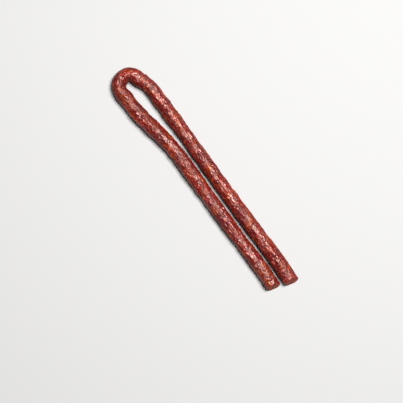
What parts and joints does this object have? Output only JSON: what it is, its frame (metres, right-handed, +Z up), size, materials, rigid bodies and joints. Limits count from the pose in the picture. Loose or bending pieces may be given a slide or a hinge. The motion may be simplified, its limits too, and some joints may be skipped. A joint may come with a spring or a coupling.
{
  "type": "cured sausage",
  "caption": "Long thin smoked and dried sausage, folded over into a hairpin with a small eye at the fold and slanted cut ends, lying flat.",
  "frame": {"origin": "on the surface it rests on, under the middle of its outline", "axes": "+X along the legs, from the fold to the cut ends; +Y towards the straighter leg; +Z up"},
  "size_m": [0.2668, 0.0412, 0.0154],
  "materials": {
    "casing": "dark red-brown smoked skin, finely wrinkled, with a broken greasy shine; darker meat with pale fat specks on the cut ends"
  },
  "bodies": {
    "root": {"sausage": "casing"}
  },
  "joints": []
}
